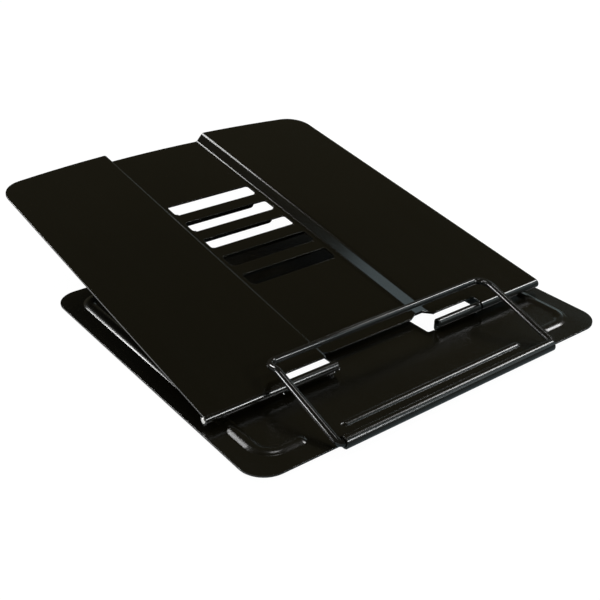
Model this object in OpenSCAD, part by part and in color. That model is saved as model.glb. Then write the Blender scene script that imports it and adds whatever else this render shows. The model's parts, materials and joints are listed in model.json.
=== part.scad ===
// Folding book stand in black bent sheet steel. A back sheet tilts on two hinge pins above a
// base sheet, a wire prop leans under it, and a wire page holder swings in a curl at the front.
// Millimetres, +Z up, +Y to the rear, +X to the reader's right. The origin is on the desk,
// in the middle of the stand's whole footprint.

/* [Base sheet] */
// width of the base sheet
base_w = 200; // [160:1:260]
// depth of the base sheet
base_d = 178; // [150:1:240]
// radius of the base's four corners
base_corner_r = 12; // [4:0.5:25]
// thickness of both sheets
sheet_t = 0.8; // [0.6:0.1:1.2]

/* [Stiffening beads] */
// width of the bead that runs round the base
bead_w = 6; // [4:0.5:9]
// height of the beads above the sheet
bead_h = 0.9; // [0.5:0.05:1]
// base edge to the bead's outer line
bead_inset = 8.5; // [6:0.5:14]
// front edge to the outer line of the bead's front returns
bead_front_inset = 8.9; // [7:0.1:14]
// radius of the bead's corners at its middle line
bead_corner_r = 8.5; // [6:0.5:15]
// middle of the stand to the rounded end of each front return
bead_end_x = 68.5; // [64:0.5:76]
// half length of the straight front bead
front_bead_half = 52; // [30:1:58]
// width of the straight front bead
front_bead_w = 4; // [3:0.5:6]
// front edge to the middle of the straight front bead
front_bead_inset = 9.9; // [8:0.1:14]

/* [Hinge] */
// front edge to the hinge axis
hinge_inset = 40.5; // [37:0.1:50]
// height of the hinge axis above the base sheet
hinge_rise = 4.1; // [3.6:0.1:6]
// diameter of the two hinge pins
pin_d = 2.8; // [2.2:0.1:3.2]
// radial clearance of the pins in their rolled eyes and of the prop in its loops
eye_clear = 0.05; // [0.02:0.01:0.1]
// middle of the stand to the inner end of a base knuckle
knuckle_in = 30.2; // [26:0.1:34]
// middle of the stand to the outer end of a base knuckle
knuckle_out = 57; // [50:0.1:57.6]
// bend radius at a knuckle's root, at mid sheet
knuckle_bend_r = 1.4; // [1:0.1:2]
// how far round the pin an eye is rolled, in degrees
eye_wrap = 285; // [270:1:300]
// inner side of the opening behind each knuckle
opening_in = 26.1; // [24:0.1:29]
// outer side of that opening
opening_out = 62; // [58:0.1:70]
// front edge to the front of that opening
opening_front = 42; // [40:0.1:52]
// front edge to the rear of that opening
opening_rear = 58; // [54:0.1:70]
// corner radius of that opening
opening_r = 1; // [0.5:0.1:3]
// width of the slits that free a bent piece from its sheet
slit = 0.6; // [0.3:0.1:1]
// how far a pin's outer end stands out of the rolled edge
pin_out = 0.3; // [0:0.1:1]
// how far a pin's inner end lies inside its knuckle
pin_in = 2; // [0:0.1:8]

/* [Back sheet] */
// width of the back sheet
plate_w = 195; // [150:1:250]
// hinge axis to the middle of the arched top edge
plate_len = 209.9; // [170:0.1:260]
// radius of the arched top edge
arch_r = 580; // [300:10:1500]
// radius of the two top corners
plate_corner_r = 14; // [5:0.5:30]
// tilt of the back sheet from level as it rests, in degrees
tilt = 9; // [6:0.1:12]
// middle of the stand to the inner end of the rolled front edge
roll_in = 58; // [57.9:0.1:66]
// depth of the notches that clear the base knuckles
notch_len = 5; // [4.5:0.1:9]

/* [Channel and notches] */
// depth of the middle channel
channel_depth = 5; // [3:0.1:6]
// half width of the channel between its upper folds
channel_top = 32.1; // [30:0.1:35]
// bend radius of the four folds, at mid sheet
fold_r = 2; // [1:0.1:2.5]
// hinge axis to the channel's plain front edge
channel_start = 11; // [9:0.1:20]
// how far that edge is cut back beside the channel's walls
channel_relief = 2; // [0:0.1:4]
// number of slots
slot_count = 5; // [3:1:6]
// hinge axis to the front edge of the first slot
slot_inset = 70.8; // [60:0.1:90]
// pitch of the slots
slot_pitch = 17.9; // [14:0.1:22]
// height of a slot
slot_h = 9.1; // [7:0.1:11]
// width of a slot
slot_w = 51.4; // [40:0.1:53]
// corner radius of a slot
slot_r = 1.5; // [0.5:0.1:3]
// width of the tab bent down from a slot
tab_w = 48; // [36:0.1:49]
// depth of a tab below the channel's face
tab_depth = 8.5; // [5:0.1:9]
// radius of a tab's two free corners
tab_r = 2; // [0.5:0.1:4]
// bend radius at a tab's root, at mid sheet
tab_bend_r = 0.9; // [0.6:0.1:1.2]

/* [Page holder] */
// diameter of the page holder's wire
holder_d = 3.2; // [2:0.1:3.6]
// half length of the curl that carries the page holder
curl_half = 60.2; // [50:0.1:60.5]
// outer diameter of that curl
curl_d = 5.6; // [5.2:0.1:7]
// how far the curl is rolled, in degrees
curl_wrap = 290; // [270:1:300]
// curl axis ahead of the base's front edge
curl_out = 1.7; // [0.5:0.1:3]
// half width of the page holder at mid wire
holder_half = 62.3; // [61:0.1:70]
// lean of the page holder above level as it rests, in degrees
holder_lean = 17.4; // [12:0.1:30]
// straight length of the page holder's legs, from the curl axis
holder_leg = 40.7; // [20:0.1:50]
// radius at which the legs bow over towards the pages, at mid wire
holder_bow_r = 10; // [6:1:60]
// end of the bow to the page holder's upper bar
holder_tip = 6.1; // [6:0.1:20]
// bend radius of the upper corners, at mid wire
holder_top_r = 4; // [3:0.5:5]
// bend radius of the lower corners, at mid wire
holder_foot_r = 2.4; // [1.9:0.1:4]

/* [Prop] */
// diameter of the prop's wire
prop_d = 3; // [2.5:0.1:3.5]
// front edge to the prop's pivot
prop_inset = 98.3; // [90:0.1:120]
// half width of the prop at mid wire
prop_half = 42; // [38:0.5:60]
// middle of the stand to the inner end of each pivot stub
prop_stub_in = 29; // [20:0.5:32]
// bend radius of the prop's four corners, at mid wire
prop_bend_r = 4; // [3:0.1:8]
// width of the two loops that hold the prop's stubs
loop_w = 6; // [4:0.5:8]
// middle of the stand to the middle of a loop
loop_x = 34; // [30:0.5:36]
// air between the prop's stubs and the base sheet
stub_lift = 0.3; // [0.2:0.1:1]
// air between the prop's bar and its notch as it rests
seat_clear = 0.3; // [0.1:0.05:0.5]

/* [Feet] */
// diameter of a foot
foot_d = 12; // [8:0.5:16]
// height of a foot
foot_h = 2; // [1:0.5:4]
// side edge of the base to a foot's middle
foot_inset_x = 28; // [24:1:34]
// front or rear edge of the base to a foot's middle
foot_inset_y = 27; // [23:1:34]

/* [Hidden] */
$fn = 96;

front = -base_d / 2;
foot_x = base_w / 2 - foot_inset_x;
foot_y = base_d / 2 - foot_inset_y;
base_top = foot_h + sheet_t;
base_mid = foot_h + sheet_t / 2;

// hinge
hinge_y = front + hinge_inset;
hinge_z = base_top + hinge_rise;
eye_mid = pin_d / 2 + eye_clear + sheet_t / 2;
eye_out = eye_mid + sheet_t / 2;
knuckle_root = hinge_y + eye_mid - knuckle_bend_r;
knuckle_up = hinge_z - base_mid - knuckle_bend_r;
knuckle_w = knuckle_out - knuckle_in;
roll_w = plate_w / 2 - roll_in;

// back sheet, measured from the hinge axis along and across the tilted sheet
panel_mid = eye_mid;
channel_mid = panel_mid - channel_depth;
channel_under = channel_mid - sheet_t / 2;
// the channel's walls rise 4 for every 3 across
fold_angle = atan2(4, 3);
fold_cut = fold_r * tan(fold_angle / 2);
channel_foot = channel_top - 3 / 4 * channel_depth;
// the top corners' centres, and how far past the arch the straight cut to each of them is aimed
arch_y = plate_len - arch_r;
corner_x = plate_w / 2 - plate_corner_r;
corner_y = arch_y + sqrt(pow(arch_r - plate_corner_r, 2) - pow(corner_x, 2));
arch_aim = 1.05 * arch_r / (arch_r - plate_corner_r);
slot_last = slot_inset + (slot_count - 1) * slot_pitch;
// length to spare on a body that is then cut to its outline
spare = 5;

// page holder
curl_y = front - curl_out;
curl_mid = (curl_d - sheet_t) / 2;
curl_z = base_mid + curl_mid;
// the legs bow through a slope of 44 in 117
holder_bow = atan2(44, 117);

// prop, seated in the last notch
prop_y = front + prop_inset;
prop_z = base_top + stub_lift + prop_d / 2;
loop_mid = prop_d / 2 + eye_clear + sheet_t / 2;
bar_v = slot_last - sheet_t - seat_clear - prop_d / 2;
bar_h = channel_under - seat_clear - prop_d / 2;
bar_y = hinge_y + bar_v * cos(tilt) - bar_h * sin(tilt);
bar_z = hinge_z + bar_v * sin(tilt) + bar_h * cos(tilt);
prop_len = norm([bar_y - prop_y, bar_z - prop_z]);
prop_lean = atan2(bar_z - prop_z, bar_y - prop_y);

// middle of the footprint, front of the curl to rear of the back sheet
front_y = curl_y - curl_mid - sheet_t / 2;
rear_y = hinge_y + plate_len * cos(tilt) - channel_under * sin(tilt);
mid_y = (front_y + rear_y) / 2;

// moves a piece from the base's middle to the stand's origin
module place() {
    translate([0, -mid_y, 0]) children();
}

// the hinge axis, tilted as the back sheet rests
module on_hinge() {
    place() translate([0, hinge_y, hinge_z]) rotate([tilt, 0, 0]) children();
}

// sweeps a section along straight lengths and round bends: each step is a length, a bend radius,
// a bend angle, to the left when positive, and for a wire that leaves its plane a roll about the
// line of travel, through which the section stays upright; sheets, wires and beads are made by it
module run(steps, i = 0, turn = 0) {
    l = steps[i][0];
    r = steps[i][1];
    a = steps[i][2];
    roll = is_undef(steps[i][3]) ? 0 : steps[i][3];
    side = a > 0 ? -r : r;
    if (l > 0) translate([0, l, 0]) rotate([90, 0, 0]) linear_extrude(l) rotate(turn) children();
    translate([side, l, 0]) {
        if (a > 0) rotate_extrude(angle = a) translate([r, 0]) rotate(turn) children();
        if (a < 0) mirror([1, 0, 0]) rotate_extrude(angle = -a) translate([r, 0]) mirror([1, 0])
            rotate(turn) children();
        if (i < len(steps) - 1) rotate([0, 0, a]) translate([-side, 0, 0]) rotate([0, roll, 0])
            run(steps, i + 1, turn + roll) children();
    }
}

// stands a run up in the plane from front to rear, setting off at an angle above the rear
module upright(y, z, heading) {
    translate([0, y, z]) rotate([90, 0, 90]) rotate([0, 0, heading - 90]) children();
}

module rounded(w, d, r) {
    square([w - 2 * r, d], center = true);
    square([w, d - 2 * r], center = true);
    for (sx = [-1, 1], sy = [-1, 1]) translate([sx * (w / 2 - r), sy * (d / 2 - r)]) circle(r);
}

// section of a bead, domed to a circle, or of the groove that the bead leaves under the sheet
module dome(w, h, inner) {
    r = (w * w / 4 + h * h) / (2 * h);
    foot = inner ? 1.5 * sheet_t : sheet_t / 2;
    intersection() {
        translate([0, h - r]) circle(inner ? r - sheet_t : r);
        translate([-w, -foot]) square([2 * w, h + foot + sheet_t]);
    }
}

// half turn that closes a bead's end
module dome_end(w, h, inner) {
    rotate_extrude(angle = 180) intersection() {
        dome(w, h, inner);
        translate([0, -spare]) square(2 * spare);
    }
}

module beads(inner) {
    x = base_w / 2 - bead_inset - bead_w / 2;
    y0 = front + bead_front_inset + bead_w / 2;
    y1 = base_d / 2 - bead_inset - bead_w / 2;
    c = bead_corner_r;
    end_x = bead_end_x + bead_w / 2;
    path = [
        [x - end_x - c, c, -90],
        [y1 - y0 - 2 * c, c, -90],
        [2 * x - 2 * c, c, -90],
        [y1 - y0 - 2 * c, c, -90],
        [x - end_x - c, 0, 0]
    ];
    translate([0, 0, base_top]) {
        translate([-end_x, y0, 0]) rotate([0, 0, 90]) run(path) dome(bead_w, bead_h, inner);
        translate([-end_x, y0, 0]) rotate([0, 0, -90]) dome_end(bead_w, bead_h, inner);
        translate([end_x, y0, 0]) rotate([0, 0, 90]) dome_end(bead_w, bead_h, inner);
        translate([0, front + front_bead_inset, 0]) {
            half = front_bead_half - front_bead_w / 2;
            translate([half, 0, 0]) {
                rotate([0, 0, 90]) run([[2 * half, 0, 0]]) dome(front_bead_w, bead_h, inner);
                rotate([0, 0, -90]) dome_end(front_bead_w, bead_h, inner);
            }
            translate([-half, 0, 0]) rotate([0, 0, 90]) dome_end(front_bead_w, bead_h, inner);
        }
    }
}

// flat outline of the base: openings behind the knuckles, slits under the prop's loops, and
// short slits beside the tongue that is rolled into the curl
module base_outline() {
    difference() {
        union() {
            rounded(base_w, base_d, base_corner_r);
            translate([-curl_half, curl_y]) square([2 * curl_half, curl_out + base_corner_r]);
        }
        for (s = [-1, 1]) {
            translate([s * (opening_in + opening_out) / 2, front + (opening_front + opening_rear) / 2])
                rounded(opening_out - opening_in, opening_rear - opening_front, opening_r);
            translate([s * (knuckle_in + knuckle_out) / 2 - knuckle_w / 2 - slit, knuckle_root])
                square([knuckle_w + 2 * slit, front + opening_front + 2 * opening_r - knuckle_root]);
            translate([s * loop_x - loop_w / 2, prop_y - loop_mid + sheet_t / 2])
                square([loop_w, 2 * loop_mid - sheet_t]);
            translate([s * (curl_half + slit / 2) - slit / 2, front - slit]) square([slit, 3 * slit]);
        }
    }
}

module base_plate() {
    color([0.06, 0.06, 0.05]) place() difference() {
        union() {
            translate([0, 0, foot_h]) linear_extrude(sheet_t) base_outline();
            beads(false);
            for (s = [-1, 1]) {
                translate([s * (knuckle_in + knuckle_out) / 2, 0, 0]) upright(knuckle_root, base_mid, 0)
                    run([[0, knuckle_bend_r, 90], [knuckle_up, eye_mid, eye_wrap]])
                        square([sheet_t, knuckle_w], center = true);
                translate([s * loop_x, 0, 0]) upright(prop_y + loop_mid, base_top, 90)
                    run([[prop_z - base_top, loop_mid, 180], [prop_z - base_top, 0, 0]])
                        square([sheet_t, loop_w], center = true);
            }
            upright(curl_y, base_mid, 180) run([[0, curl_mid, -curl_wrap]])
                square([sheet_t, 2 * curl_half], center = true);
        }
        beads(true);
    }
}

// flat outline of the back sheet seen square on, with the bend lines of the tabs left open
module plate_outline() {
    half = plate_w / 2;
    difference() {
        union() {
            intersection() {
                translate([0, arch_y]) circle(arch_r, $fn = 360);
                polygon([
                    [-half, 0],
                    [half, 0],
                    [half, corner_y],
                    [corner_x, corner_y],
                    [corner_x * arch_aim, arch_y + (corner_y - arch_y) * arch_aim],
                    [-corner_x * arch_aim, arch_y + (corner_y - arch_y) * arch_aim],
                    [-corner_x, corner_y],
                    [-half, corner_y]
                ]);
            }
            for (s = [-1, 1]) translate([s * corner_x, corner_y]) circle(plate_corner_r);
        }
        polygon([
            [-roll_in, -eye_out],
            [roll_in, -eye_out],
            [roll_in, notch_len],
            [channel_top, notch_len],
            [(channel_top + channel_foot) / 2, channel_start],
            [channel_foot, channel_start + channel_relief],
            [channel_foot - 2 * channel_relief, channel_start],
            [2 * channel_relief - channel_foot, channel_start],
            [-channel_foot, channel_start + channel_relief],
            [-(channel_top + channel_foot) / 2, channel_start],
            [-channel_top, notch_len],
            [-roll_in, notch_len]
        ]);
        for (k = [0 : slot_count - 1]) translate([0, slot_inset + k * slot_pitch]) {
            translate([0, slot_h / 2]) rounded(slot_w, slot_h, slot_r);
            translate([-tab_w / 2 - slit / 2, -tab_bend_r - sheet_t / 2]) square([tab_w + slit, slot_h / 2]);
        }
    }
}

// one tab bent down from its slot: the notch that the prop's bar leans against
module tab() {
    flat = tab_depth - tab_bend_r - sheet_t / 2;
    upright(-tab_bend_r - sheet_t / 2, channel_mid, 0) run([[0, tab_bend_r, -90]])
        square([sheet_t, tab_w], center = true);
    translate([0, 0, channel_mid - tab_bend_r]) rotate([90, 0, 0]) linear_extrude(sheet_t) {
        translate([-tab_w / 2, tab_r - flat]) square([tab_w, flat - tab_r]);
        translate([tab_r - tab_w / 2, -flat]) square([tab_w - 2 * tab_r, tab_r]);
        for (s = [-1, 1]) translate([s * (tab_w / 2 - tab_r), tab_r - flat]) circle(tab_r);
    }
}

module back_plate() {
    half = plate_w / 2;
    wall = norm([channel_depth, channel_top - channel_foot]) - 2 * fold_cut;
    section = [
        [half + spare - channel_top - fold_cut, fold_r, -fold_angle],
        [wall, fold_r, fold_angle],
        [2 * channel_foot - 2 * fold_cut, fold_r, fold_angle],
        [wall, fold_r, -fold_angle],
        [half + spare - channel_top - fold_cut, 0, 0]
    ];
    color([0.07, 0.07, 0.055]) on_hinge() {
        intersection() {
            translate([-half - spare, plate_len / 2, panel_mid]) rotate([90, 0, 0]) rotate([0, 0, -90])
                run(section) square([sheet_t, plate_len + 2 * spare], center = true);
            translate([0, 0, -2 * spare]) linear_extrude(4 * spare) plate_outline();
        }
        for (s = [-1, 1]) translate([s * (roll_in + half) / 2, 0, 0]) upright(0, panel_mid, 180)
            run([[0, eye_mid, eye_wrap]]) square([sheet_t, roll_w], center = true);
        for (k = [0 : slot_count - 1]) translate([0, slot_inset + k * slot_pitch, 0]) tab();
    }
}

module hinge_pin(s) {
    inner = knuckle_in + pin_in;
    outer = plate_w / 2 + pin_out;
    color([0.5, 0.5, 0.5]) on_hinge() translate([s * (inner + outer) / 2, 0, 0])
        rotate([0, 90, 0]) cylinder(d = pin_d, h = outer - inner, center = true);
}

module hinge_pin_left() {
    hinge_pin(-1);
}

module hinge_pin_right() {
    hinge_pin(1);
}

module prop_wire() {
    b = prop_bend_r;
    stub = prop_half - prop_stub_in - b;
    path = [
        [stub, b, -90],
        [prop_len - 2 * b, b, -90],
        [2 * prop_half - 2 * b, b, -90],
        [prop_len - 2 * b, b, -90],
        [stub, 0, 0]
    ];
    color([0.12, 0.12, 0.12]) place() translate([0, prop_y, prop_z]) rotate([prop_lean, 0, 0])
        translate([-prop_stub_in, 0, 0]) rotate([0, 0, 90]) run(path) circle(d = prop_d);
}

module page_holder() {
    t = holder_top_r;
    f = holder_foot_r;
    path = [
        [holder_half - f, f, 90, -90],
        [holder_leg - f, holder_bow_r, holder_bow, 90],
        [holder_tip - t, t, 90],
        [2 * holder_half - 2 * t, t, 90, -90],
        [holder_tip - t, holder_bow_r, holder_bow, 90],
        [holder_leg - f, f, 90],
        [holder_half - f, 0, 0]
    ];
    color([0.03, 0.03, 0.03]) place() translate([0, curl_y, curl_z]) rotate([holder_lean, 0, 0])
        rotate([0, 0, -90]) run(path) circle(d = holder_d);
}

module foot(sx, sy) {
    color([0.02, 0.02, 0.02]) place() translate([sx * foot_x, sy * foot_y, 0])
        cylinder(d = foot_d, h = foot_h);
}

module foot_front_left() {
    foot(-1, -1);
}

module foot_front_right() {
    foot(1, -1);
}

module foot_rear_left() {
    foot(-1, 1);
}

module foot_rear_right() {
    foot(1, 1);
}

base_plate();
back_plate();
hinge_pin_left();
hinge_pin_right();
prop_wire();
page_holder();
foot_front_left();
foot_front_right();
foot_rear_left();
foot_rear_right();
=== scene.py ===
import json
import math

import bpy
import numpy as np
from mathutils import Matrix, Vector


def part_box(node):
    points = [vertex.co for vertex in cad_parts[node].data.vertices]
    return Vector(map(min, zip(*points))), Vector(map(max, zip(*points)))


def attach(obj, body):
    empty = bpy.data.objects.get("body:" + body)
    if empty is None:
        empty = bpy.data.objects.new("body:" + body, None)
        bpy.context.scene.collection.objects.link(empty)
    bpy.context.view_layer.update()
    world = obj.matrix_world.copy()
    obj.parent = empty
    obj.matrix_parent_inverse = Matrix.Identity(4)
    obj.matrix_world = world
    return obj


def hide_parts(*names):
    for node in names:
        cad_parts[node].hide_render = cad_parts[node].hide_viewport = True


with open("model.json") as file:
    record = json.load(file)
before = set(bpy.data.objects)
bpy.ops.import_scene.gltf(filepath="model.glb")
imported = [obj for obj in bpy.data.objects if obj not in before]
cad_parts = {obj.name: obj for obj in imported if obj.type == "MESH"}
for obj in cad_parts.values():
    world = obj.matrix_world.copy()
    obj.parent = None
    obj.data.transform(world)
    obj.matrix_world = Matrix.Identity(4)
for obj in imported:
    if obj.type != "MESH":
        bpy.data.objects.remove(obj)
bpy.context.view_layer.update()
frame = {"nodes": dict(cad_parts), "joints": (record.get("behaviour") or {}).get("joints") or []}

# Base sheet
# A flat blank of thin steel with two pressed beads, two hinge knuckles and a long front curl, all
# rolled from the one piece. It is powder coated black after bending: satin, a little brown, with a
# fine orange peel, and rubbed thin where it is bent sharply or cut.
COAT_DEEP = (0.0034, 0.0028, 0.0012)
COAT_WARM = (0.0046, 0.0038, 0.0017)
COAT_RUBBED = (0.040, 0.036, 0.028)
COAT_EDGE = 0.00035
COAT_EDGE_FACING = 0.985
COAT_GRAIN_SCALE = 3200.0
COAT_PEEL_SCALE = 650.0
COAT_TONE_SCALE = 11.0
COAT_RUB_SCALE = (90.0, 7.0, 40.0)
COAT_RELIEF = 0.0002
COAT_BUMP = 0.025
BASE_GLOSS = 0.21


class Signal:
    """One shader socket in an expression. Arithmetic adds Math nodes, and add() puts in any other
    node, with its sockets' values or links and its settings, and returns one of its outputs."""

    def __init__(self, tree, socket=None):
        self.tree = tree
        self.socket = socket

    def add(self, kind, sockets=None, out=0, **settings):
        node = self.tree.nodes.new("ShaderNode" + kind)
        for name, value in settings.items():
            setattr(node, name, value)
        for name, value in (sockets or {}).items():
            if isinstance(value, Signal):
                self.tree.links.new(value.socket, node.inputs[name])
            else:
                node.inputs[name].default_value = value
        return Signal(self.tree, node.outputs[out] if node.outputs else None)

    def maths(self, operation, a, b, clamp=False):
        return self.add("Math", {0: a, 1: b}, operation=operation, use_clamp=clamp)

    def __add__(self, other):
        return self.maths("ADD", self, other)

    def __sub__(self, other):
        return self.maths("SUBTRACT", self, other)

    def __rsub__(self, other):
        return self.maths("SUBTRACT", other, self)

    def __mul__(self, other):
        return self.maths("MULTIPLY", self, other)

    __radd__ = __add__
    __rmul__ = __mul__

    def clamped(self):
        """This value, held between 0 and 1."""
        return self.maths("ADD", self, 0.0, clamp=True)

    def blend(self, low, high):
        """The colour that this value, from 0 to 1, picks between two colours."""
        return self.add("Mix", {0: self, 6: low, 7: high}, out=2, data_type="RGBA")


def new_material(name):
    """An empty node material, with the Object coordinates that its patterns read."""
    material = bpy.data.materials.new(name)
    material.use_nodes = True
    material.node_tree.nodes.clear()
    place = Signal(material.node_tree).add("TexCoord", out="Object")
    return material, place


def paint(node, material):
    """Gives a whole node or piece one material."""
    shown = frame["nodes"][node] if isinstance(node, str) else node
    shown.data.materials.clear()
    shown.data.materials.append(material)


def powder_coat(name, shift, smooth):
    """Powder coat on sheet: a fine grain over a rounder orange peel for the bump, broad tone from
    slow noise, drawn-out rub marks in the gloss, and thin edges where a rounded normal leaves the
    true one."""
    material, place = new_material(name)
    moved = place.add("Mapping", {"Vector": place, "Location": shift})
    grain = moved.add("TexNoise", {"Vector": moved, "Scale": COAT_GRAIN_SCALE, "Detail": 2.0})
    peel = moved.add("TexNoise", {"Vector": moved, "Scale": COAT_PEEL_SCALE, "Detail": 1.0})
    broad = moved.add("TexNoise", {"Vector": moved, "Scale": COAT_TONE_SCALE, "Detail": 3.0})
    drawn = moved.add("Mapping", {"Vector": moved, "Scale": COAT_RUB_SCALE})
    rubs = drawn.add(
        "TexNoise", {"Vector": drawn, "Scale": 1.0, "Detail": 4.0, "Roughness": 0.65}
    )
    rounded = place.add("Bevel", {"Radius": COAT_EDGE}, samples=6)
    flat = place.add("NewGeometry", out="Normal")
    facing = rounded.add(
        "VectorMath", {0: rounded, 1: flat}, out="Value", operation="DOT_PRODUCT"
    )
    edge = ((COAT_EDGE_FACING - facing) * 4.0).clamped() * (peel + 0.1).clamped()
    tone = ((broad - 0.3) * 2.2).clamped()
    black = tone.blend((*COAT_DEEP, 1.0), (*COAT_WARM, 1.0))
    colour = edge.blend(black, (*COAT_RUBBED, 1.0))
    gloss = smooth + (peel - 0.5) * 0.06 + (rubs - 0.5) * 0.10 - edge * 0.04
    height = peel * 0.75 + grain * 0.25
    bump = rounded.add(
        "Bump",
        {"Height": height, "Strength": COAT_BUMP, "Distance": COAT_RELIEF, "Normal": rounded},
    )
    skin = bump.add("BsdfPrincipled", {"Base Color": colour, "Roughness": gloss, "Normal": bump})
    skin.add("OutputMaterial", {"Surface": skin})
    return material


paint("base_plate", powder_coat("base_powder_coat", (0.0, 0.0, 0.0), BASE_GLOSS))

# Feet
# Four small discs of black rubber, stuck under the corners of the base. Each is moulded with a
# rounded lower rim and a shallow dish, so that it grips by its ring.
FOOT_RIM = 0.0007
FOOT_DISH = 0.0004
ROUND_STEPS = 6
FOOT_RUBBER = (0.018, 0.018, 0.018)
FOOT_BLOOM = (0.045, 0.044, 0.042)
FOOT_GRAIN_SCALE = 5200.0
FOOT_BLOOM_SCALE = 420.0
FOOT_RELIEF = 0.0002


def grid_mesh(name, points, close_u=False, close_v=False, caps=()):
    """A smooth mesh from a grid of points: rows follow the first parameter and columns the second,
    either may close on itself, and caps names the rows that are filled as end faces."""
    rows, columns = points.shape[:2]
    index = np.arange(rows * columns).reshape(rows, columns)
    if close_u:
        index = np.vstack([index, index[:1]])
    if close_v:
        index = np.hstack([index, index[:, :1]])
    quads = np.stack([index[:-1, :-1], index[:-1, 1:], index[1:, 1:], index[1:, :-1]], axis=-1)
    faces = quads.reshape(-1, 4).tolist()
    for row in caps:
        ring = list(range(row * columns, (row + 1) * columns))
        faces.append(ring if row else ring[::-1])
    mesh = bpy.data.meshes.new(name)
    mesh.from_pydata(points.reshape(-1, 3).tolist(), [], faces)
    mesh.polygons.foreach_set("use_smooth", [len(face) == 4 for face in faces])
    mesh.validate()
    mesh.update()
    piece = bpy.data.objects.new(name, mesh)
    bpy.context.collection.objects.link(piece)
    return piece


def turned(name, profile, centre, axis, sides=48):
    """A turned piece: a profile of (radius, height) pairs carried round an axis, square to Y,
    through a centre, so that a point is the centre + height * axis + radius * (cos(angle) * side
    + sin(angle) * (axis x side))."""
    axis = np.array(axis, float)
    side = np.cross(axis, (0.0, 1.0, 0.0))
    angle = np.linspace(0.0, 2.0 * math.pi, sides, endpoint=False)
    ring = np.cos(angle)[:, None] * side + np.sin(angle)[:, None] * np.cross(axis, side)
    radius, height = np.array(profile, float).T
    points = centre + height[:, None, None] * axis + radius[:, None, None] * ring
    return grid_mesh(name, points, close_v=True, caps=(0, len(profile) - 1))


def lower_round(radius, edge):
    """The (radius, height) pairs of a rounded lower edge: a quarter circle of the edge's radius,
    from the end face out to the wall."""
    angle = np.linspace(-1.0, 0.0, ROUND_STEPS) * math.pi / 2.0
    return np.c_[radius - edge + edge * np.cos(angle), edge + edge * np.sin(angle)]


def foot_profile(radius, height):
    """The half section of a foot: a dish of height FOOT_DISH * (1 - (r / R) ** 4) within the rim's
    inner radius R, then the rounded rim and the straight wall."""
    inner = radius - FOOT_RIM
    dish = np.linspace(0.15, 0.85, 6) * inner
    hollow = np.c_[dish, FOOT_DISH * (1.0 - (dish / inner) ** 4)]
    return np.vstack([hollow, lower_round(radius, FOOT_RIM), [[radius, height]]])


def foot_rubber():
    """Matt rubber: a mould's fine sparked grain in the bump and a paler bloom where it is rough."""
    material, place = new_material("foot_rubber")
    grain = place.add("TexNoise", {"Vector": place, "Scale": FOOT_GRAIN_SCALE, "Detail": 3.0})
    bloom = place.add("TexNoise", {"Vector": place, "Scale": FOOT_BLOOM_SCALE, "Detail": 4.0})
    colour = (bloom * 0.6).blend((*FOOT_RUBBER, 1.0), (*FOOT_BLOOM, 1.0))
    matt = bloom * 0.2 + 0.66
    bump = grain.add("Bump", {"Height": grain, "Strength": 0.35, "Distance": FOOT_RELIEF})
    skin = bump.add("BsdfPrincipled", {"Base Color": colour, "Roughness": matt, "Normal": bump})
    skin.add("OutputMaterial", {"Surface": skin})
    return material


rubber = foot_rubber()
for foot in [name for name in frame["nodes"] if name.startswith("foot_")]:
    low, high = (np.array(corner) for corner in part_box(foot))
    radius = (high[0] - low[0]) / 2.0
    centre = np.array([*(low + high)[:2] / 2.0, low[2]])
    profile = foot_profile(radius, high[2] - low[2])
    piece = turned("pad_" + foot, profile, centre, (0.0, 0.0, 1.0))
    paint(piece, rubber)
    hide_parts(foot)
    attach(piece, "base")

# Hinge pins
# Two lengths of drawn steel wire, pushed through the rolled front edge of the back sheet and the
# base knuckle beside it. The wire is blackened, and only the cropped outer ends, a little rounded,
# are bare and bright.
PIN_ROUND = 0.0003
PIN_RINGS = 4
PIN_BLACK = (0.012, 0.012, 0.012)
PIN_STEEL = (0.88, 0.87, 0.85)
PIN_STAIN = (0.55, 0.53, 0.49)
PIN_BARE = 0.0974
PIN_BARE_SHARP = 9000.0
PIN_LINES_SCALE = (60.0, 9000.0, 9000.0)
PIN_STAIN_SCALE = 240.0
PIN_RELIEF = 0.0001


def pin_profile(radius, length):
    """The half section of a pin: a plain wall between two rounded ends."""
    first = lower_round(radius, PIN_ROUND)
    wall = np.linspace(2.0 * PIN_ROUND, length - 2.0 * PIN_ROUND, PIN_RINGS)
    last = first[::-1] * (1.0, -1.0) + (0.0, length)
    return np.vstack([first, np.c_[np.full(PIN_RINGS, radius), wall], last])


def pin_steel():
    """Drawn steel: fine lines along the pin, which runs along X, in the gloss and bump. It is black
    as far as PIN_BARE from the middle of the stand, and stained bright metal beyond."""
    material, place = new_material("pin_steel")
    lines = place.add("Mapping", {"Vector": place, "Scale": PIN_LINES_SCALE})
    drawn = lines.add("TexNoise", {"Vector": lines, "Scale": 1.0, "Detail": 3.0})
    stain = place.add("TexNoise", {"Vector": place, "Scale": PIN_STAIN_SCALE, "Detail": 4.0})
    along = place.add("SeparateXYZ", {0: place}, out="X")
    outward = along.maths("ABSOLUTE", along, 0.0)
    bare = ((outward - PIN_BARE) * PIN_BARE_SHARP).clamped()
    bright = (stain * 0.4).blend((*PIN_STEEL, 1.0), (*PIN_STAIN, 1.0))
    colour = bare.blend((*PIN_BLACK, 1.0), bright)
    gloss = drawn * 0.18 + 0.20
    bump = drawn.add("Bump", {"Height": drawn, "Strength": 0.15, "Distance": PIN_RELIEF})
    skin = bump.add(
        "BsdfPrincipled",
        {"Base Color": colour, "Metallic": bare, "Roughness": gloss, "Normal": bump},
    )
    skin.add("OutputMaterial", {"Surface": skin})
    return material


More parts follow.
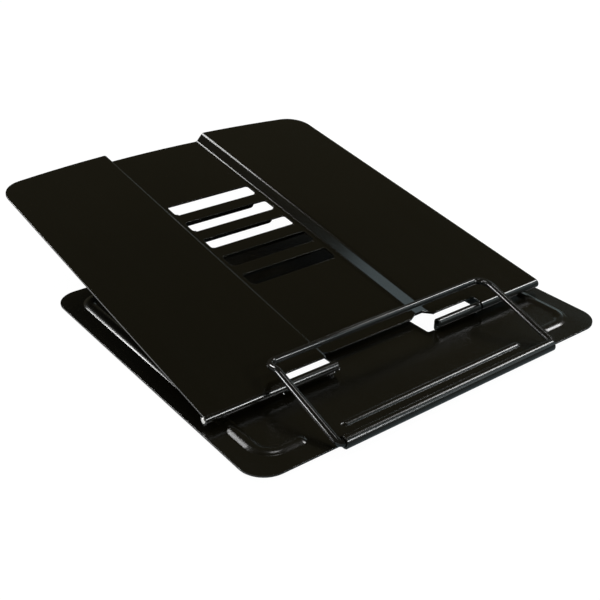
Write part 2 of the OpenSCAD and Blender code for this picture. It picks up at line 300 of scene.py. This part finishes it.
steel = pin_steel()
for pin in ("hinge_pin_left", "hinge_pin_right"):
    low, high = (np.array(corner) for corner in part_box(pin))
    middle = (low + high) / 2.0
    start = np.array([low[0], middle[1], middle[2]])
    profile = pin_profile((high[2] - low[2]) / 2.0, high[0] - low[0])
    piece = turned("bright_" + pin, profile, start, (1.0, 0.0, 0.0))
    paint(piece, steel)
    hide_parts(pin)
    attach(piece, "plate")

# Back sheet
# The tilting sheet, of the same steel and coat as the base: rolled front edges, a sunk middle
# channel, and a row of slots whose metal is bent down as tabs for the prop to lean against.
BACK_GLOSS = 0.15
BACK_SHIFT = (0.37, 0.21, 0.0)

paint("back_plate", powder_coat("back_powder_coat", BACK_SHIFT, BACK_GLOSS))

# Prop
# A U of steel wire under the back sheet. Its two short stubs turn in loops of the base, and its bar
# leans against a tab. It is dipped in gloss black before it is sprung into the loops.
WIRE_BLACK = (0.0045, 0.0045, 0.0042)
WIRE_THIN = (0.011, 0.010, 0.008)
WIRE_RUNS_SCALE = 160.0
WIRE_SPECKS_SCALE = 2400.0
WIRE_RELIEF = 0.0002
WIRE_SIDES = 32
WIRE_STEPS = 7
WIRE_ARC = 5.0
WIRE_SAME = 1e-7
PROP_BEND = 0.004
PROP_STUB = 0.029
PROP_WIDE = 0.042


def wire_path(start, heading, left, steps):
    """The middle line of a bent wire, and the two axes of its section along it. Each step is a
    straight length, an arc of a radius through an angle to the left, and then a roll of the bending
    plane about the line of travel. The section's axes don't roll with that plane."""
    spot, ahead, side = (np.array(vector, float) for vector in (start, heading, left))
    rolled = 0.0
    lines, across, along = [], [], []
    for length, radius, angle, roll in steps:
        turn = math.radians(angle)
        arc = np.linspace(0.0, turn, math.ceil(abs(angle) / WIRE_ARC) + 1)[:, None]
        swing = np.cos(arc) * side - np.sin(arc) * ahead
        bend = spot + length * ahead + math.copysign(radius, angle) * (side - swing)
        straight = spot + np.linspace(0.0, length, WIRE_STEPS + 1)[:-1, None] * ahead
        sides = np.vstack([np.repeat(side[None], WIRE_STEPS, axis=0), swing])
        upward = np.cross(ahead, side)
        lines.append(np.vstack([straight, bend]))
        across.append(math.cos(rolled) * sides - math.sin(rolled) * upward)
        along.append(math.sin(rolled) * sides + math.cos(rolled) * upward)
        spot = bend[-1]
        ahead = math.cos(turn) * ahead + math.sin(turn) * side
        tilt = math.radians(roll)
        side = math.cos(tilt) * swing[-1] + math.sin(tilt) * upward
        rolled += tilt
    line = np.vstack(lines)
    new = np.r_[True, np.linalg.norm(np.diff(line, axis=0), axis=1) > WIRE_SAME]
    return line[new], np.vstack(across)[new], np.vstack(along)[new]


def wire(name, path, radius, closed):
    """A round wire: a circle of a radius in the section's axes, carried along the middle line, so
    that a point is the line + radius * (cos(angle) * across + sin(angle) * along)."""
    line, across, along = path
    angle = np.linspace(0.0, 2.0 * math.pi, WIRE_SIDES, endpoint=False)[None, :, None]
    circle = np.cos(angle) * across[:, None] + np.sin(angle) * along[:, None]
    points = line[:, None] + radius * circle
    if closed:
        return grid_mesh(name, points[:-1], close_u=True, close_v=True)
    return grid_mesh(name, points, close_v=True, caps=(0, len(line) - 1))


def gloss_black(name):
    """Dipped enamel on wire: slow runs in the bump, a soft change of gloss, and a faint warm
    thinning."""
    material, place = new_material(name)
    runs = place.add("TexNoise", {"Vector": place, "Scale": WIRE_RUNS_SCALE, "Detail": 2.0})
    specks = place.add("TexNoise", {"Vector": place, "Scale": WIRE_SPECKS_SCALE, "Detail": 2.0})
    colour = runs.blend((*WIRE_BLACK, 1.0), (*WIRE_THIN, 1.0))
    gloss = runs * 0.06 + specks * 0.04 + 0.07
    height = runs * 0.7 + specks * 0.3
    bump = runs.add("Bump", {"Height": height, "Strength": 0.06, "Distance": WIRE_RELIEF})
    skin = bump.add("BsdfPrincipled", {"Base Color": colour, "Roughness": gloss, "Normal": bump})
    skin.add("OutputMaterial", {"Surface": skin})
    return material


pivots = {joint["name"]: np.array(joint["pos_m"]) for joint in frame["joints"]}
low, high = (np.array(corner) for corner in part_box("prop_wire"))
prop_pivot = pivots["prop_swing"]
prop_radius = high[0] - PROP_WIDE
bar = np.array([0.0, high[1] - prop_radius, high[2] - prop_radius]) - prop_pivot
prop_length = np.linalg.norm(bar)
stub = PROP_WIDE - PROP_STUB - PROP_BEND
leg = prop_length - 2.0 * PROP_BEND
cross = 2.0 * (PROP_WIDE - PROP_BEND)
steps = [
    (stub, PROP_BEND, -90.0, 0.0),
    (leg, PROP_BEND, -90.0, 0.0),
    (cross, PROP_BEND, -90.0, 0.0),
    (leg, PROP_BEND, -90.0, 0.0),
    (stub, 0.0, 0.0, 0.0),
]
start = prop_pivot - (PROP_STUB, 0.0, 0.0)
path = wire_path(start, (-1.0, 0.0, 0.0), -bar / prop_length, steps)
prop = wire("bent_prop_wire", path, prop_radius, closed=False)
paint(prop, gloss_black("prop_wire_black"))
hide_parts("prop_wire")
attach(prop, "prop")

# Page holder
# One closed loop of steel wire, bent to a frame and welded in its lower bar, which the front curl
# of the base is rolled round. The upper bar is bowed over to press on the open pages. Gloss black.
HOLDER_HALF = 0.0623
HOLDER_LEAN = math.radians(17.4)
HOLDER_FOOT = 0.0024
HOLDER_LEG = 0.0407
HOLDER_BOW = 0.010
HOLDER_BOW_ANGLE = math.degrees(math.atan2(44.0, 117.0))
HOLDER_TIP = 0.0061
HOLDER_TOP = 0.004

low, high = (np.array(corner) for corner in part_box("page_holder"))
half = HOLDER_HALF - HOLDER_FOOT
leg = HOLDER_LEG - HOLDER_FOOT
tip = HOLDER_TIP - HOLDER_TOP
steps = [
    (half, HOLDER_FOOT, 90.0, -90.0),
    (leg, HOLDER_BOW, HOLDER_BOW_ANGLE, 90.0),
    (tip, HOLDER_TOP, 90.0, 0.0),
    (2.0 * (HOLDER_HALF - HOLDER_TOP), HOLDER_TOP, 90.0, -90.0),
    (tip, HOLDER_BOW, HOLDER_BOW_ANGLE, 90.0),
    (leg, HOLDER_FOOT, 90.0, 0.0),
    (half, 0.0, 0.0, 0.0),
]
rearward = (0.0, math.cos(HOLDER_LEAN), math.sin(HOLDER_LEAN))
path = wire_path(pivots["page_holder_swing"], (1.0, 0.0, 0.0), rearward, steps)
holder = wire("bent_page_holder", path, high[0] - HOLDER_HALF, closed=True)
paint(holder, gloss_black("holder_wire_black"))
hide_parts("page_holder")
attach(holder, "holder")

# Floor
# A white sweep under the stand. It keeps the stand's shadow. What mirrors see of it is a painted
# reflection: its glow is painted light beside the stand on the left, dim and cool in front, and
# painted shade behind.
NEUTRAL = (1.0, 1.0, 1.0)
FLOOR_SIZE = 8.0
FLOOR_DROP = 0.0002
FLOOR_MATT = (0.86, 0.86, 0.87)
FLOOR_GLOW = 1.06
FLOOR_SHOWN = 0.92
# The floor's glow as mirrors see it is painted: dim and cool in front, painted shade behind, and
# painted light beside on the left.
FLOOR_FRONT = (0.24, 0.30, 0.32)
FLOOR_PAINTED_SHADE = (0.06, 0.06, 0.06)
FLOOR_BEHIND_FROM = -0.0125
FLOOR_BEHIND_FADE = 8.0
FLOOR_BESIDE_FROM = -0.085
FLOOR_BESIDE_FADE = 40.0

reach = FLOOR_SIZE / 2.0
corners = [(-reach, -reach), (reach, -reach), (reach, reach), (-reach, reach)]
floor_mesh = bpy.data.meshes.new("floor")
floor_mesh.from_pydata([(x, y, -FLOOR_DROP) for x, y in corners], [], [(0, 1, 2, 3)])
floor = bpy.data.objects.new("floor", floor_mesh)
bpy.context.collection.objects.link(floor)

floor_material, place = new_material("floor_white")
camera_ray = place.add("LightPath", out="Is Camera Ray")
glossy_ray = place.add("LightPath", out="Is Glossy Ray")
across = place.add("SeparateXYZ", {0: place}, out="X")
deep = place.add("SeparateXYZ", {0: place}, out="Y")
# Painted shade and light in the floor's glow for mirrors: dark behind the stand, white beside it on
# the left.
painted_shade_behind = ((deep - FLOOR_BEHIND_FROM) * FLOOR_BEHIND_FADE).clamped()
painted_light_beside = ((FLOOR_BESIDE_FROM - across) * FLOOR_BESIDE_FADE).clamped()
away = painted_shade_behind.blend((*FLOOR_FRONT, 1.0), (*FLOOR_PAINTED_SHADE, 1.0))
painted_reflection = painted_light_beside.blend(away, (*NEUTRAL, 1.0))
tint = glossy_ray.blend((*NEUTRAL, 1.0), painted_reflection)
matt = place.add("BsdfDiffuse", {"Color": (*FLOOR_MATT, 1.0)})
glow = place.add("Emission", {"Color": tint, "Strength": FLOOR_GLOW})
share = (camera_ray * FLOOR_SHOWN + glossy_ray).clamped()
shown = place.add("MixShader", {0: share, 1: matt, 2: glow})
shown.add("OutputMaterial", {"Surface": shown})
paint(floor, floor_material)

# Lights and camera
# Soft boxes in a dim warm room, each hung where its mirror image falls on one set of edges: front,
# right, over and top on the rolls, the curl and the front bead, left on the page holder's legs,
# rear on the channel's folds, and bead on the base's left bead. The screens give the cool bands.
COOL = (0.78, 1.0, 1.08)
BOXES = (
    ("box_front", (0.42, -0.90, 0.55), (0.24, 0.14), 34.0, NEUTRAL),
    ("box_right", (0.80, -0.15, 0.82), (0.20, 0.28), 22.0, NEUTRAL),
    ("box_over", (0.66, -0.09, 0.94), (0.24, 0.10), 7.0, NEUTRAL),
    ("box_top", (0.22, 0.10, 1.07), (0.20, 0.12), 11.0, NEUTRAL),
    ("box_left", (-0.98, 0.43, 0.21), (0.26, 0.20), 32.0, NEUTRAL),
    ("box_rear", (-0.19, 0.88, 0.98), (0.44, 0.10), 16.0, NEUTRAL),
    ("box_bead", (-0.76, 1.77, 1.45), (0.42, 0.36), 38.0, NEUTRAL),
    ("screen_left", (-0.94, 0.48, 0.58), (0.40, 0.34), 1.5, COOL),
    ("screen_right", (0.99, -0.96, 0.80), (1.20, 1.00), 0.8, COOL),
    ("screen_back", (1.00, 0.46, 0.29), (0.30, 0.24), 0.9, COOL),
    ("screen_fold", (0.83, 0.85, 0.26), (0.40, 0.18), 0.28, COOL),
)
ROOM_WARM = (1.0, 0.91, 0.60)
ROOM_MIRRORED = 0.056
ROOM_DIM = 0.012
CAMERA_AT = (-0.25482, -0.35483, 0.23404)
CAMERA_TILT = (math.radians(61.137), 0.0, math.radians(-36.876))
CAMERA_LENS = 58.222
CAMERA_SENSOR = 36.0

# A level is how bright a box looks in a mirror.
for name, spot, size, level, colour in BOXES:
    lamp = bpy.data.lights.new(name, "AREA")
    lamp.shape = "RECTANGLE"
    lamp.size, lamp.size_y = size
    lamp.energy = level * math.pi * size[0] * size[1]
    lamp.color = colour
    box = bpy.data.objects.new(name, lamp)
    box.location = spot
    tilt = math.acos(spot[2] / np.linalg.norm(spot))
    box.rotation_euler = (tilt, 0.0, math.atan2(spot[0], -spot[1]))
    bpy.context.collection.objects.link(box)

world = bpy.data.worlds.new("studio")
bpy.context.scene.world = world
world.use_nodes = True
world.node_tree.nodes.clear()
sky = Signal(world.node_tree)
seen = sky.add("LightPath", out="Is Camera Ray")
mirror_ray = sky.add("LightPath", out="Is Glossy Ray")
room = mirror_ray.blend((*NEUTRAL, 1.0), (*ROOM_WARM, 1.0))
strength = seen * (1.0 - ROOM_DIM) + mirror_ray * ROOM_MIRRORED + ROOM_DIM
back = sky.add("Background", {"Color": room, "Strength": strength})
back.add("OutputWorld", {"Surface": back})

camera_data = bpy.data.cameras.new("photo_camera")
camera_data.sensor_width = CAMERA_SENSOR
camera_data.lens = CAMERA_LENS
camera_data.clip_start = 0.01
camera = bpy.data.objects.new("photo_camera", camera_data)
camera.location = CAMERA_AT
camera.rotation_euler = CAMERA_TILT
bpy.context.collection.objects.link(camera)
bpy.context.scene.camera = camera
bpy.context.scene.view_settings.view_transform = "Standard"
